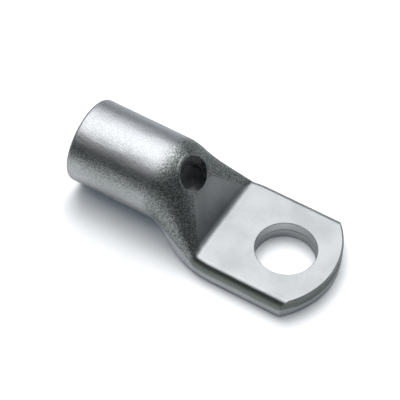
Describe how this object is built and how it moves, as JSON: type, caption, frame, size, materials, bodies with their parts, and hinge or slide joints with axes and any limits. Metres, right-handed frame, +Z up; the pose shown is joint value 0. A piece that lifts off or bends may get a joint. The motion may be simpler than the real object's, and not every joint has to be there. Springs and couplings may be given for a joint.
{
  "type": "tubular cable lug",
  "caption": "Tubular crimp cable lug: a round barrel takes the conductor, and its flattened end is a palm with a hole for a terminal stud.",
  "frame": {"origin": "middle of the stud hole, on the underside of the palm", "axes": "+X from the barrel to the tip of the palm, +Z up through the stud hole, +Y across the palm"},
  "size_m": [0.0477, 0.0208, 0.015],
  "materials": {
    "tin_plate": "satin tin plate over copper, bright on the pressed faces and grainy round the neck"
  },
  "bodies": {
    "root": {"cable_lug": "tin_plate"}
  },
  "joints": []
}
